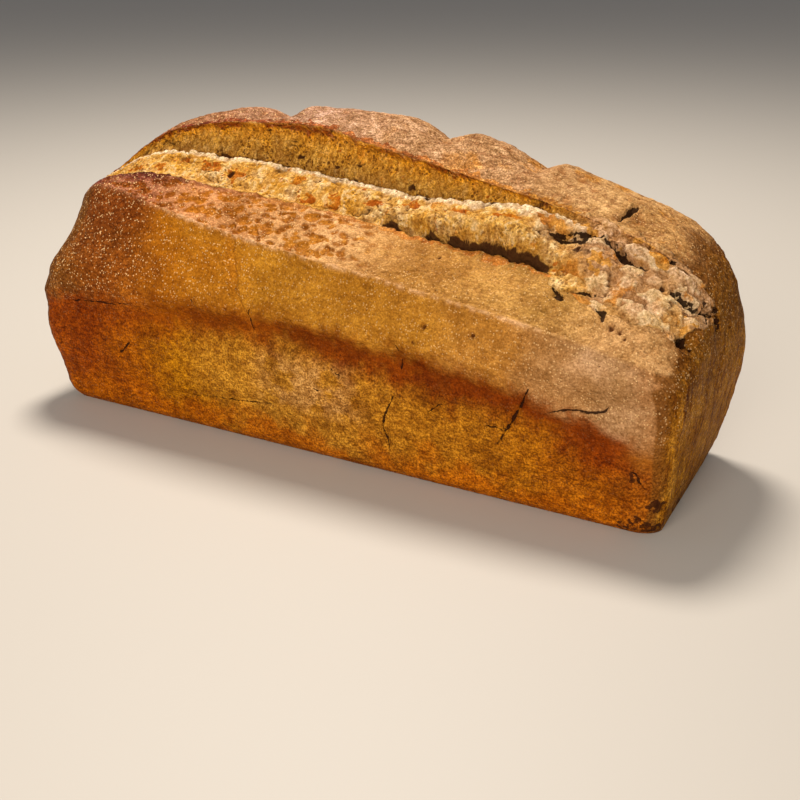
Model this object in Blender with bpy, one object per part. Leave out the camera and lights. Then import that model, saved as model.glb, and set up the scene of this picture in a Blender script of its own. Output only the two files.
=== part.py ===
"""A tin loaf: one long baked loaf whose top crust has torn open along its length.

The loaf is lofted from cross-sections along X. Each cross-section is a closed loop in Y and Z that
runs up the front wall to the ridge, over the front crust, across the torn crumb, down into the gap,
up the torn back wall to the lip, over the domed back crust and down the back wall to the flat base.
Profile curves along X say where each of those edges lies, and short cracks are pressed into the top.
Lengths here are in centimetres, and CM turns them into metres at the end. +X is the loaf's right
end, -Y its front, and Z = 0 the base it rests on.
"""

import bmesh
import bpy
import numpy as np

CM = 0.01

# Driving dimensions, in centimetres
BASE_HALF_WIDTH = 4.2
TIN_HALF_LENGTH = 14.85  # where the tin's rim was
LOAF_HALF_WIDTH = 4.9  # where the crust bulges out over the rim
TIN_HALF_WIDTH = 4.8
BASE_EDGE = 0.25  # rounding of the bottom edge
UNDERCUT = 0.12  # how far the torn wall lies back under its lip
OVEN_SPRING_START = 5.5  # height above which the ends round over
OVEN_SPRING_FULL = 9.0
END_FALL_LENGTH = 2.8  # how far from each end the top starts to turn down
LEFT_END_DROP = 0.6
RIGHT_END_DROP = 2.0
END_MIDDLE_Z = 5.0  # height of the middle of each end face
RIGHT_FOOT_SLANT = 0.25  # how far the foot of the right end slants back from the middle to its back corner
SLANT_HEIGHT = 4.0  # height at which that slant has gone

# How finely the loops and the loft are divided
STATIONS = 88
STATION_CROWDING = 1.3  # above 1 puts more stations near the ends
STEPS = {"front": 10, "flap": 7, "crumb": 6, "gap": 4, "wall": 6, "dome": 12, "back": 7, "base": 2}

CRUST_COLOUR = (0.47, 0.24, 0.07, 1.0)
CRUST_ROUGHNESS = 0.75


def curve(*knots):
    """A smooth curve through (x, value) knots that never overshoots between two of them."""
    xs, values = (np.array(column, float) for column in zip(*knots))
    steps = np.diff(xs)
    slopes = np.diff(values) / steps
    tangents = np.zeros(len(xs))
    before, after = 2 * steps[1:] + steps[:-1], steps[1:] + 2 * steps[:-1]
    with np.errstate(divide="ignore", invalid="ignore"):
        middle = (before + after) / (before / slopes[:-1] + after / slopes[1:])
    tangents[1:-1] = np.where(slopes[:-1] * slopes[1:] > 0, middle, 0.0)
    tangents[0], tangents[-1] = slopes[0], slopes[-1]
    return lambda x: hermite(np.clip(x, xs[0], xs[-1]), xs, values, tangents)


def hermite(at, knots, values, tangents):
    """The cubic through the values with the given tangents at the knots."""
    i = np.clip(np.searchsorted(knots, at, side="right") - 1, 0, len(knots) - 2)
    h = knots[i + 1] - knots[i]
    t = (at - knots[i]) / h
    return (
        (1 + 2 * t) * (1 - t) ** 2 * values[i]
        + t * (1 - t) ** 2 * h * tangents[i]
        + t * t * (3 - 2 * t) * values[i + 1]
        + t * t * (t - 1) * h * tangents[i + 1]
    )


# Where the edges of the top lie along the loaf: Y, then Z
RIDGE_Y = curve((-14.5, -2.6), (-12.5, -2.9), (-10, -3.4), (-6, -3.9), (0, -4.2), (6, -4.4), (14, -4.4))
RIDGE_Z = curve(
    (-14.5, 9.05), (-12, 9.85), (-8, 9.4), (-4, 8.87), (0, 8.45), (4, 8.03), (8, 7.55), (14, 6.6)
)
TORN_Y = curve((-14, -1.2), (-10, -1.6), (-6, -1.8), (0, -1.8), (6, -2.0), (10, -2.5), (14, -2.6))
TORN_Z = curve((-14.5, 9.5), (-10, 10.3), (-6, 10.1), (-3, 9.95), (0, 9.7), (3, 9.3), (8, 8.9), (14, 7.9))
CREST_Y = curve((-14, 0.1), (-6, 0.0), (0, -0.2), (6, -0.4), (14, -0.6))
CREST_Z = curve(
    (-14.5, 9.7), (-10, 11.0), (-6, 11.0), (-2, 10.8), (3, 10.5), (6.5, 10.75), (10, 10.2), (14, 9.0)
)
LIP_Y = curve((-14, 1.0), (-8, 0.85), (-3, 0.6), (2, 0.3), (6, 0.0), (14, -0.1))
LIP_Z = curve(
    (-14.5, 9.85), (-11, 11.75), (-7, 12.4), (-3.5, 12.6), (0, 12.1), (4, 11.5), (10, 10.4), (14, 9.1)
)
DOME_Y = curve((-14, 1.6), (0, 2.1), (14, 1.8))
DOME_Z = curve(
    (-14.5, 9.9), (-11, 12.0), (-7.3, 12.8), (-3, 13.12), (0, 13.08), (4, 12.6), (11, 10.8), (14.5, 9.2)
)
GAP_DEPTH = curve((-14, 0.0), (-12, 0.2), (-8, 0.8), (-3, 1.1), (3, 1.0), (7, 0.8), (9.5, 0.1), (14, 0.0))

# How far the ends reach out at each height, and how large the rounding of the upright corners is
LEFT_REACH = curve(
    (0, 13.88), (2.3, 14.55), (4, 14.95), (5, 14.95), (5.8, 14.62), (8, 14.5), (10, 14.5), (13, 14.1)
)
RIGHT_REACH = curve(
    (0, 14.1), (1.5, 14.5), (3, 14.75), (5, 14.95), (7, 14.95), (8, 14.9), (10, 14.6), (13, 14.1)
)
CORNER_RADIUS = curve((0, 0.9), (3, 1.1), (5, 1.3), (7, 2.2), (9, 3.0), (13, 3.4))

# Walls below the top, as (Y, Z) from the base up: the tin's taper, then the crust bulging over its rim
FRONT_WALL = [
    (-BASE_HALF_WIDTH + BASE_EDGE, 0.0),
    (-BASE_HALF_WIDTH, BASE_EDGE),
    (-4.45, 1.5),
    (-4.7, 3.0),
    (-TIN_HALF_WIDTH, 4.1),
    (-4.76, 5.1),
    (-LOAF_HALF_WIDTH, 6.1),
]
BACK_WALL = [
    (BASE_HALF_WIDTH - BASE_EDGE, 0.0),
    (BASE_HALF_WIDTH, BASE_EDGE),
    (4.7, 3.0),
    (4.82, 5.0),
    (LOAF_HALF_WIDTH, 7.0),
    (4.85, 8.6),
]

# Cracks in the top, each a half width and (X, Y, depth) points in plan
CRACKS = [
    (0.45, [(0.0, -1.4, 0.0), (3.5, -1.4, 0.4), (6.5, -1.75, 0.5), (8.0, -1.6, 0.5), (10.6, -0.85, 0.6)]),
    (0.45, [(10.6, -0.85, 0.6), (11.6, -1.3, 0.7), (12.8, -1.4, 0.7), (13.9, -1.4, 0.6), (14.8, -1.0, 0.3)]),
    (0.35, [(10.3, 0.0, 0.0), (10.7, 0.5, 0.3), (11.0, 1.0, 0.4), (11.0, 1.9, 0.0)]),
    (0.35, [(11.1, -3.6, 0.0), (11.5, -3.2, 0.3), (12.0, -2.6, 0.3), (13.2, -2.1, 0.0)]),
]
# Folds down the back of the dome where one swell of crust meets the next: X, depth, then how far the
# fold runs out to its left and to its right
SWELL_FOLDS = [(-5.45, 0.45, 1.6, 1.3), (2.4, 0.52, 1.9, 1.3), (6.8, 0.44, 2.6, 0.7)]


def smooth_points(points, steps):
    """steps points, the last left out, along a smooth curve through a few section points."""
    points = np.array(points, float)
    chords = np.sqrt((np.diff(points, axis=0) ** 2).sum(1))
    along = np.concatenate([[0.0], np.cumsum(chords)])
    at = np.linspace(0.0, along[-1], steps + 1)[:-1]
    columns = [hermite(at, along, column, np.gradient(column, along)) for column in points.T]
    return np.stack(columns, 1)


def section_runs(x):
    """The named edges and faces met around the loaf at x, each run as a few (Y, Z) points."""
    ridge = np.array((RIDGE_Y(x), RIDGE_Z(x)))
    torn = np.array((TORN_Y(x), TORN_Z(x)))
    crest = np.array((CREST_Y(x), CREST_Z(x)))
    lip = np.array((LIP_Y(x), LIP_Z(x)))
    dome = np.array((DOME_Y(x), DOME_Z(x)))
    floor = np.array((0.6 * crest[0] + 0.4 * lip[0], crest[1] - GAP_DEPTH(x)))
    shoulder = (0.55 * ridge[0] - 0.45 * LOAF_HALF_WIDTH, 0.5 * (FRONT_WALL[-1][1] + ridge[1]))
    rise = lip[1] - floor[1]
    under_lip = lip + (UNDERCUT * np.clip(rise - 0.5, 0.0, 1.0), -0.15 * rise)
    above_wall = dome[1] - BACK_WALL[-1][1]
    back_slope = [(3.4, dome[1] - 0.1 * above_wall), (4.4, dome[1] - 0.35 * above_wall), BACK_WALL[-1]]
    return [
        ("front", FRONT_WALL + [shoulder, ridge]),
        ("flap", [ridge, 0.5 * (ridge + torn) + (0.0, 0.12), torn]),
        ("crumb", [torn, 0.5 * (torn + crest) + (0.0, 0.1), crest]),
        ("gap", [crest, 0.5 * (crest + floor), floor]),
        ("wall", [floor, (0.85 * lip[0] + 0.15 * floor[0], floor[1] + 0.5 * rise), under_lip, lip]),
        ("dome", [lip, dome] + back_slope),
        ("back", BACK_WALL[::-1]),
        ("base", [BACK_WALL[0], FRONT_WALL[0]]),
    ]


def section(x):
    """The loop of (Y, Z) points across the loaf at x, before the ends turn in."""
    return np.concatenate([smooth_points(points, STEPS[name]) for name, points in section_runs(x)])


def hollow(distance, half_width):
    """1 in the middle of a groove, easing to 0 at its edges."""
    t = np.clip(1.0 - distance / half_width, 0.0, 1.0)
    return t * t * (3 - 2 * t)


def crack_depth(x, y, half_width, points):
    """The depth at (x, y) of one crack that runs straight from each of its points to the next."""
    depth = np.zeros(np.shape(x))
    for (ax, ay, a_depth), (bx, by, b_depth) in zip(points, points[1:]):
        dx, dy = bx - ax, by - ay
        t = np.clip(((x - ax) * dx + (y - ay) * dy) / (dx * dx + dy * dy), 0.0, 1.0)
        aside = np.hypot(x - ax - t * dx, y - ay - t * dy)
        depth = np.maximum(depth, (a_depth + t * (b_depth - a_depth)) * hollow(aside, half_width))
    return depth


def pressed_in(x, y):
    """How far the top is lowered at (x, y) by the cracks and by the folds between swells."""
    depth = np.zeros(np.shape(x))
    for half_width, points in CRACKS:
        depth = np.maximum(depth, crack_depth(x, y, half_width, points))
    for place, deepest, left, right in SWELL_FOLDS:
        behind_lip = np.clip((y - 0.9) / 0.8, 0.0, 1.0)
        fold = hollow(np.abs(x - place), np.where(x < place, left, right))
        depth = np.maximum(depth, deepest * behind_lip * fold)
    return depth


def station_loop(u):
    """The finished loop of (X, Y, Z) points at u, from -1 at the left end to 1 at the right end."""
    y, z = section(u * TIN_HALF_LENGTH).T
    reach = (LEFT_REACH if u < 0 else RIGHT_REACH)(z)
    radius = CORNER_RADIUS(z)
    turn = np.clip(1.0 - (1.0 - abs(u)) * reach / radius, 0.0, 1.0)
    narrow = 1.0 - radius / TIN_HALF_WIDTH * (1.0 - np.sqrt(1.0 - turn * turn))
    top = np.clip((z - OVEN_SPRING_START) / (OVEN_SPRING_FULL - OVEN_SPRING_START), 0.0, 1.0)
    drop = LEFT_END_DROP if u < 0 else RIGHT_END_DROP
    over = np.clip(1.0 - (1.0 - abs(u)) * TIN_HALF_LENGTH / END_FALL_LENGTH, 0.0, 1.0)
    slant = RIGHT_FOOT_SLANT * max(0.0, 4 * u - 3) * np.clip(1.0 - z / SLANT_HEIGHT, 0.0, 1.0)
    x, y = u * reach - slant * y / BASE_HALF_WIDTH, y * narrow
    return np.stack([x, y, z - top * (drop * (1.0 - np.sqrt(1.0 - over * over)) + pressed_in(x, y))], 1)


def station_places():
    """u values from -1 to 1, closer together where the ends turn in."""
    even = np.linspace(-1.0, 1.0, STATIONS)
    return np.sign(even) * (1.0 - (1.0 - np.abs(even)) ** STATION_CROWDING)


def join_loops(bm, one, two):
    """Quads between two loops of the same number of corners."""
    for i in range(len(one)):
        j = (i + 1) % len(one)
        bm.faces.new((one[i], two[i], two[j], one[j]))


def close_end(bm, points, loop, reach):
    """The end face: a ring halfway in to the middle of the face, then triangles to the middle."""
    side = np.sign(points[0, 0])
    middle = np.array((side * reach(END_MIDDLE_Z), 0.0, END_MIDDLE_Z))
    halfway = 0.5 * (points + middle)
    halfway[:, 0] = points[:, 0] - side * (reach(points[:, 2]) - reach(halfway[:, 2]))
    ring = [bm.verts.new(point * CM) for point in halfway]
    join_loops(bm, loop, ring)
    centre = bm.verts.new(middle * CM)
    for i in range(len(ring)):
        bm.faces.new((ring[i], centre, ring[(i + 1) % len(ring)]))


def loft():
    """The closed loaf mesh: loops joined by quads, and each end closed over its middle."""
    bm = bmesh.new()
    points = [station_loop(u) for u in station_places()]
    loops = [[bm.verts.new(point * CM) for point in loop] for loop in points]
    for one, two in zip(loops, loops[1:]):
        join_loops(bm, one, two)
    close_end(bm, points[0], loops[0], LEFT_REACH)
    close_end(bm, points[-1], loops[-1], RIGHT_REACH)
    bmesh.ops.recalc_face_normals(bm, faces=bm.faces)
    mesh = bpy.data.meshes.new("loaf")
    bm.to_mesh(mesh)
    bm.free()
    return mesh


def crust_material():
    """Golden brown baked crust."""
    material = bpy.data.materials.new("crust")
    material.use_nodes = True
    shader = material.node_tree.nodes["Principled BSDF"]
    shader.inputs["Base Color"].default_value = CRUST_COLOUR
    shader.inputs["Roughness"].default_value = CRUST_ROUGHNESS
    shader.inputs["Metallic"].default_value = 0.0
    return material


def main():
    for old in list(bpy.data.objects):
        bpy.data.objects.remove(old)
    mesh = loft()
    mesh.materials.append(crust_material())
    loaf = bpy.data.objects.new("loaf", mesh)
    bpy.context.scene.collection.objects.link(loaf)
    mesh.shade_smooth()


main()
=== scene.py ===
"""Looks for the tin loaf: its baked crust, torn crumb, cracks and pores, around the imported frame."""

import math
from collections import defaultdict

import bpy
import numpy as np
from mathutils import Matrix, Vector


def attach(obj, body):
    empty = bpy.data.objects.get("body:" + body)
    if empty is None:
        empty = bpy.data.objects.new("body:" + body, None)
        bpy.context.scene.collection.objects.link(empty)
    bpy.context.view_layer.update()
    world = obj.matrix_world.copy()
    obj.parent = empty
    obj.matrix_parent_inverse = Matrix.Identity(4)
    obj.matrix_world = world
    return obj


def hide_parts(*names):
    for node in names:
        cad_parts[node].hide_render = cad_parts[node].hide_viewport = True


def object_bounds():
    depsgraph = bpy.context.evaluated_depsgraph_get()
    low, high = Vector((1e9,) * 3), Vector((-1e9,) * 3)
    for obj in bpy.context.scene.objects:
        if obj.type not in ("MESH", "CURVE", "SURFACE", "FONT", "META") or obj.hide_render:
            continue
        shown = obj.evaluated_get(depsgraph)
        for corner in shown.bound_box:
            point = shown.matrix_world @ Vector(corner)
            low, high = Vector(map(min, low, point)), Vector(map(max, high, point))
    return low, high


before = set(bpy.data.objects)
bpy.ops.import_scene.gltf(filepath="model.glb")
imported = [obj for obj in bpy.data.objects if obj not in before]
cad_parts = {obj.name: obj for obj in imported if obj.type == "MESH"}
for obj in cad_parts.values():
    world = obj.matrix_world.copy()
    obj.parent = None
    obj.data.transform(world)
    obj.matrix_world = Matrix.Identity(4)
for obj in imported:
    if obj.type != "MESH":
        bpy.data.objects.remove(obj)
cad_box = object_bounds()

CM = 0.01

# The loaf's own sizes, in centimetres, as the CAD part has them
BASE_HALF_WIDTH = 4.2
TIN_HALF_LENGTH = 14.85
TIN_HALF_WIDTH = 4.8
LOAF_HALF_WIDTH = 4.9
BASE_EDGE = 0.25
OVEN_SPRING_START = 5.5
OVEN_SPRING_FULL = 9.0
END_FALL_LENGTH = 2.8
LEFT_END_DROP = 0.6
RIGHT_END_DROP = 2.0
END_MIDDLE_Z = 5.0
RIGHT_FOOT_SLANT = 0.25
SLANT_HEIGHT = 4.0
UNDERCUT = 0.25

# How finely the surface is divided: points round each run of the loop, then stations along the loaf
FINENESS = 1.0
STEPS = {"front": 147, "flap": 62, "crumb": 72, "gap": 22, "wall": 52, "dome": 100, "back": 80, "base": 8}
STEPS = {name: max(2, int(count * FINENESS)) for name, count in STEPS.items()}
STATION_SPACING = 0.06 / FINENESS
END_STRETCH = 2.5  # stations crowd together over this last stretch of each end
END_RINGS = {-1: int(28 * FINENESS), 1: int(46 * FINENESS)}  # rings that close the left and the right end
SMALLEST_RING = 0.004  # the last ring's share of the first one's size
# Which runs of the loop each piece covers
PIECES = {
    "front_crust": ["front"],
    "flap_crust": ["flap"],
    "torn_crumb": ["crumb", "gap", "wall"],
    "dome_crust": ["dome"],
    "back_crust": ["back", "base"],
}


# ---------------------------------------------------------------- curves and noise


def hermite(at, knots, values, tangents):
    """The cubic through the values with the given tangents at the knots."""
    i = np.clip(np.searchsorted(knots, at, side="right") - 1, 0, len(knots) - 2)
    h = knots[i + 1] - knots[i]
    t = (at - knots[i]) / h
    return (
        (1 + 2 * t) * (1 - t) ** 2 * values[i]
        + t * (1 - t) ** 2 * h * tangents[i]
        + t * t * (3 - 2 * t) * values[i + 1]
        + t * t * (t - 1) * h * tangents[i + 1]
    )


def curve(*knots):
    """A smooth curve through (x, value) knots that never overshoots between two of them."""
    xs, values = (np.array(column, float) for column in zip(*knots))
    steps = np.diff(xs)
    slopes = np.diff(values) / steps
    tangents = np.zeros(len(xs))
    before, after = 2 * steps[1:] + steps[:-1], steps[1:] + 2 * steps[:-1]
    with np.errstate(divide="ignore", invalid="ignore"):
        middle = (before + after) / (before / slopes[:-1] + after / slopes[1:])
    tangents[1:-1] = np.where(slopes[:-1] * slopes[1:] > 0, middle, 0.0)
    tangents[0], tangents[-1] = slopes[0], slopes[-1]
    return lambda x: hermite(np.clip(x, xs[0], xs[-1]), xs, values, tangents)


def ease(value, low, high):
    """0 below low, 1 above high and smooth between; low may be the larger of the two."""
    t = np.clip((value - low) / (high - low), 0.0, 1.0)
    return t * t * (3 - 2 * t)


def hashed(cell, seed):
    """A repeatable whole number up to 2**30 for each lattice cell."""
    h = cell[:, 0] * 374761393 + cell[:, 1] * 668265263 + cell[:, 2] * 974634777
    h = (h + seed * 362437) & 0xFFFFFFFF
    h = ((h ^ (h >> 13)) * 1103515245) & 0xFFFFFFFF
    h = ((h ^ (h >> 15)) * 668265261) & 0xFFFFFFFF
    return (h ^ (h >> 16)) & 0x3FFFFFFF


def noise(points, size, seed=0):
    """Smooth noise from about -1 to 1, with bumps about size centimetres across, one number or three."""
    at = points / size + seed * 17.31
    cell = np.floor(at).astype(np.int64)
    t = at - cell
    fade = t * t * t * (t * (t * 6 - 15) + 10)
    total = np.zeros(len(points))
    for corner in np.ndindex(2, 2, 2):
        corner = np.array(corner)
        h = hashed(cell + corner, seed)
        slope = np.stack([h & 1023, (h >> 10) & 1023, (h >> 20) & 1023], 1) / 511.5 - 1.0
        weight = np.prod(np.where(corner == 1, fade, 1 - fade), axis=1)
        total += weight * ((t - corner) * slope).sum(1)
    return total * 1.6


def layered(points, size, layers, seed=0, keep=0.5):
    """Noise at size, at half of it, and so on, each layer keep times as strong as the last."""
    total = np.zeros(len(points))
    strength = 1.0
    for layer in range(layers):
        total += strength * noise(points, np.asarray(size) / 2**layer, seed + layer)
        strength *= keep
    return total


def scattered(points, size, seed=0, share=1.0):
    """How near each point is to a scattered spot: 1 at the spot, 0 at its edge, over a share of the cells.

    Returns that and the spot's own random number from 0 to 1."""
    at = points / size + seed * 11.7
    cell = np.floor(at).astype(np.int64)
    best, lot = np.zeros(len(points)), np.zeros(len(points))
    for step in np.ndindex(3, 3, 3):
        near = cell + np.array(step) - 1
        h = hashed(near, seed)
        spot = near + 0.25 + 0.5 * np.stack([h & 1023, (h >> 10) & 1023, (h >> 20) & 1023], 1) / 1023.0
        number = (hashed(near, seed + 991) & 0xFFFF) / 65535.0
        radius = np.where(number < share, 0.35 + 0.4 * number / share, 1e-6)
        close = 1.0 - np.sqrt(((at - spot) ** 2).sum(1)) / radius
        lot = np.where(close > best, number / share, lot)
        best = np.maximum(best, close)
    return best, lot


# ---------------------------------------------------------------- the loaf's form

RIDGE_Y = curve((-14.5, -2.6), (-12.5, -2.9), (-10, -3.4), (-6, -3.9), (0, -4.2), (6, -4.4), (14, -4.4))
RIDGE_Z = curve((-14.5, 9.05), (-12, 9.85), (-8, 9.4), (-4, 8.87), (0, 8.45), (4, 8.03), (8, 7.55), (14, 6.6))
TORN_Y = curve((-14, -1.2), (-10, -1.6), (-6, -1.8), (0, -1.8), (6, -2.0), (10, -2.5), (14, -2.6))
TORN_Z = curve((-14.5, 9.5), (-10, 10.3), (-6, 10.1), (-3, 9.95), (0, 9.7), (3, 9.3), (8, 8.9), (14, 7.9))
CREST_Y = curve((-14, 0.1), (-6, 0.0), (0, -0.2), (6, -0.4), (14, -0.6))
CREST_Z = curve(
    (-14.5, 9.7), (-10, 11.0), (-6, 11.0), (-2, 10.8), (3, 10.5), (6.5, 10.75), (10, 10.2), (14, 9.0)
)
LIP_Y = curve((-14, 1.0), (-8, 0.85), (-3, 0.6), (2, 0.3), (6, 0.0), (14, -0.1))
LIP_Z = curve(
    (-14.5, 9.85), (-11, 11.75), (-7, 12.4), (-3.5, 12.6), (0, 12.1), (4, 11.5), (10, 10.4), (14, 9.1)
)
DOME_Y = curve((-14, 1.6), (0, 2.1), (14, 1.8))
DOME_Z = curve(
    (-14.5, 9.9), (-11, 12.0), (-7.3, 12.8), (-3, 13.12), (0, 13.08), (4, 12.6), (11, 10.8), (14.5, 9.2)
)
GAP_DEPTH = curve((-14, 0.0), (-12, 0.2), (-8, 0.8), (-3, 1.1), (3, 1.0), (7, 0.8), (9.5, 0.1), (14, 0.0))
# Depth of the second gap, between the flap's torn edge and the crumb behind it
FRONT_GAP = curve(
    (-14, 0), (-6, 0.05), (0, 0.12), (2.5, 0.35), (4.5, 0.8), (7.4, 0.95), (8.6, 0.3), (9.5, 0.05)
)
# Height above the torn edge up to which that gap is in deep shade
GAP_SHADE = curve(
    (1.3, 0), (1.8, 0.35), (2.4, 0.05), (3.3, 0.05), (3.7, 0.4), (4.2, 0.1),
    (4.8, 0.5), (5.6, 0.35), (6.2, 0.5), (8.2, 0.5), (8.9, 0.1), (9.4, 0)
)
# How steep the crumb's front is behind the flap, from 0 to 1
CRUMB_FRONT = curve((-14, 0.0), (0, 0.1), (3, 0.6), (4.5, 1.0), (7.6, 1.0), (8.8, 0.2), (14, 0.0))

LEFT_REACH = curve(
    (0, 13.88), (2.3, 14.55), (4, 14.95), (5, 14.95), (5.8, 14.62), (8, 14.5), (10, 14.5), (13, 14.1)
)
RIGHT_REACH = curve(
    (0, 14.1), (1.5, 14.5), (3, 14.75), (5, 14.95), (7, 14.95), (8, 14.9), (10, 14.6), (13, 14.1)
)
CORNER_RADIUS = curve((0, 0.9), (3, 1.1), (5, 1.3), (7, 2.2), (9, 3.0), (13, 3.4))

FRONT_WALL = [
    (-BASE_HALF_WIDTH + BASE_EDGE, 0.0),
    (-BASE_HALF_WIDTH, BASE_EDGE),
    (-4.45, 1.5),
    (-4.7, 3.0),
    (-TIN_HALF_WIDTH, 4.1),
    (-4.76, 5.1),
    (-LOAF_HALF_WIDTH, 6.1),
]
BACK_WALL = [
    (BASE_HALF_WIDTH - BASE_EDGE, 0.0),
    (BASE_HALF_WIDTH, BASE_EDGE),
    (4.7, 3.0),
    (4.82, 5.0),
    (LOAF_HALF_WIDTH, 7.0),
    (4.85, 8.6),
]
# Height of the dark band where the crust came up over the tin's rim, on the front wall
BAND_Z = curve(
    (-14, 4.8), (-9.5, 5.2), (-3, 5.8), (0, 5.65), (5, 5.25), (8, 4.9), (10, 4.5), (12.5, 3.8), (15, 3.4)
)


def along(x, size, seed):
    """Noise along the loaf only, for ragged edges."""
    return noise(np.stack([x, np.zeros_like(x), np.zeros_like(x)], 1), size, seed)


def smooth_points(points, steps):
    """steps points, the last left out, along a smooth curve through a few section points."""
    points = np.array(points, float)
    chords = np.sqrt((np.diff(points, axis=0) ** 2).sum(1))
    lengths = np.concatenate([[0.0], np.cumsum(chords)])
    at = np.linspace(0.0, lengths[-1], steps + 1)[:-1]
    columns = [hermite(at, lengths, column, np.gradient(column, lengths)) for column in points.T]
    return np.stack(columns, 1)


def edges_along(x):
    """The ragged (Y, Z) of each edge of the top at every station x, and the second gap's depth."""
    torn_rag = 0.07 * along(x, 1.1, 3) + 0.05 * along(x, 0.37, 4)
    lip_rag = 0.05 * along(x, 1.3, 5) + 0.03 * along(x, 0.4, 6)
    crest_rag = 0.10 * along(x, 1.6, 7) + 0.05 * along(x, 0.5, 8)
    cut_rag = np.clip(0.62 + 0.75 * along(x, 0.75, 9) + 0.35 * along(x, 0.3, 10), 0.05, 1.15)
    lines = {
        "ridge": (RIDGE_Y(x) + 0.03 * along(x, 2.0, 1), RIDGE_Z(x) + 0.03 * along(x, 1.2, 2)),
        "torn": (TORN_Y(x) + torn_rag, TORN_Z(x) + 0.5 * torn_rag),
        "crest": (CREST_Y(x) + crest_rag, CREST_Z(x) + 0.5 * crest_rag),
        "lip": (LIP_Y(x) + lip_rag, LIP_Z(x) + 0.5 * lip_rag),
        "dome": (DOME_Y(x), DOME_Z(x)),
    }
    edges = {name: np.stack(line, 1) for name, line in lines.items()}
    return edges | {"front_gap": FRONT_GAP(x) * cut_rag}


def section_runs(x, edges):
    """The runs met around the loaf at one station, each as a few (Y, Z) points."""
    ridge, torn, crest, lip, dome = (edges[name] for name in ("ridge", "torn", "crest", "lip", "dome"))
    floor = np.array((0.6 * crest[0] + 0.4 * lip[0], crest[1] - GAP_DEPTH(x)))
    shoulder = (0.55 * ridge[0] - 0.45 * LOAF_HALF_WIDTH, 0.5 * (FRONT_WALL[-1][1] + ridge[1]))
    rise = lip[1] - floor[1]
    under_lip = lip + (UNDERCUT * np.clip(rise - 0.5, 0.0, 1.0), -0.15 * rise)
    above_wall = dome[1] - BACK_WALL[-1][1]
    back_slope = [(3.4, dome[1] - 0.1 * above_wall), (4.4, dome[1] - 0.35 * above_wall), BACK_WALL[-1]]
    steep = CRUMB_FRONT(x)
    width, height = crest - torn
    front_floor = torn + (0.14 * width, -edges["front_gap"])
    brow = torn + ((0.45 - 0.25 * steep) * width, (0.35 + 0.4 * steep) * height)
    top = torn + (0.72 * width, (0.72 + 0.18 * steep) * height)
    return [
        ("front", FRONT_WALL + [shoulder, ridge]),
        ("flap", [ridge, 0.5 * (ridge + torn) + (0.0, 0.12), torn]),
        ("crumb", [torn, front_floor, brow, top, crest]),
        ("gap", [crest, 0.5 * (crest + floor), floor]),
        ("wall", [floor, (0.85 * lip[0] + 0.15 * floor[0], floor[1] + 0.5 * rise), under_lip, lip]),
        ("dome", [lip, dome] + back_slope),
        ("back", BACK_WALL[::-1]),
        ("base", [BACK_WALL[0], FRONT_WALL[0]]),
    ]


def station_places():
    """u values from -1 to 1: even along the loaf, and crowding where the ends turn in."""
    straight = TIN_HALF_LENGTH - END_STRETCH
    middle = np.linspace(-straight, straight, int(2 * straight / STATION_SPACING))
    left_over = np.linspace(0.0, 1.0, int(2 * END_STRETCH / STATION_SPACING) + 1)[1:]
    right = straight + END_STRETCH * (1.0 - (1.0 - left_over) ** 2)
    return np.concatenate([-right[::-1], middle, right]) / TIN_HALF_LENGTH


def station_loop(u, points):
    """The loop of (X, Y, Z) points at u, with the loaf's ends turned in and fallen."""
    y, z = points.T
    reach = (LEFT_REACH if u < 0 else RIGHT_REACH)(z)
    radius = CORNER_RADIUS(z)
    turn = np.clip(1.0 - (1.0 - abs(u)) * reach / radius, 0.0, 1.0)
    narrow = 1.0 - radius / TIN_HALF_WIDTH * (1.0 - np.sqrt(1.0 - turn * turn))
    top = np.clip((z - OVEN_SPRING_START) / (OVEN_SPRING_FULL - OVEN_SPRING_START), 0.0, 1.0)
    drop = LEFT_END_DROP if u < 0 else RIGHT_END_DROP
    over = np.clip(1.0 - (1.0 - abs(u)) * TIN_HALF_LENGTH / END_FALL_LENGTH, 0.0, 1.0)
    fall = top * drop * (1.0 - np.sqrt(1.0 - over * over))
    slant = RIGHT_FOOT_SLANT * max(0.0, 4 * u - 3) * np.clip(1.0 - z / SLANT_HEIGHT, 0.0, 1.0)
    return np.stack([u * reach - slant * y / BASE_HALF_WIDTH, y * narrow, z - fall], 1)


def end_rings(loop, side):
    """Rings that carry the surface on over an end, from its edge to the middle of the end face."""
    reach = LEFT_REACH if side < 0 else RIGHT_REACH
    middle = np.array((side * reach(END_MIDDLE_Z), 0.0, END_MIDDLE_Z))
    rings = []
    for nearness in np.linspace(1.0, 0.0, END_RINGS[side] + 1)[1:]:
        nearness = max(nearness, SMALLEST_RING)
        ring = middle + nearness * (loop - middle)
        ring[:, 0] = loop[:, 0] - side * (reach(loop[:, 2]) - reach(ring[:, 2]))
        ring[:, 0] = ring[:, 0] * nearness**3 + (1 - nearness**3) * side * reach(ring[:, 2])
        rings.append(ring)
    return rings


def base_surface():
    """The whole smooth surface as a (stations, loop points, 3) grid in centimetres."""
    places = station_places()
    x = places * TIN_HALF_LENGTH
    edges = edges_along(x)
    loops = []
    for k, u in enumerate(places):
        here = {name: line[k] for name, line in edges.items()}
        runs = section_runs(x[k], here)
        points = np.concatenate([smooth_points(run, STEPS[name]) for name, run in runs])
        loops.append(station_loop(u, points))
    return np.array(end_rings(loops[0], -1)[::-1] + loops + end_rings(loops[-1], 1))


def run_columns():
    """Where each run starts and ends among the loop's points."""
    columns, start = {}, 0
    for name, count in STEPS.items():
        columns[name] = (start, start + count)
        start += count
    return columns


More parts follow.
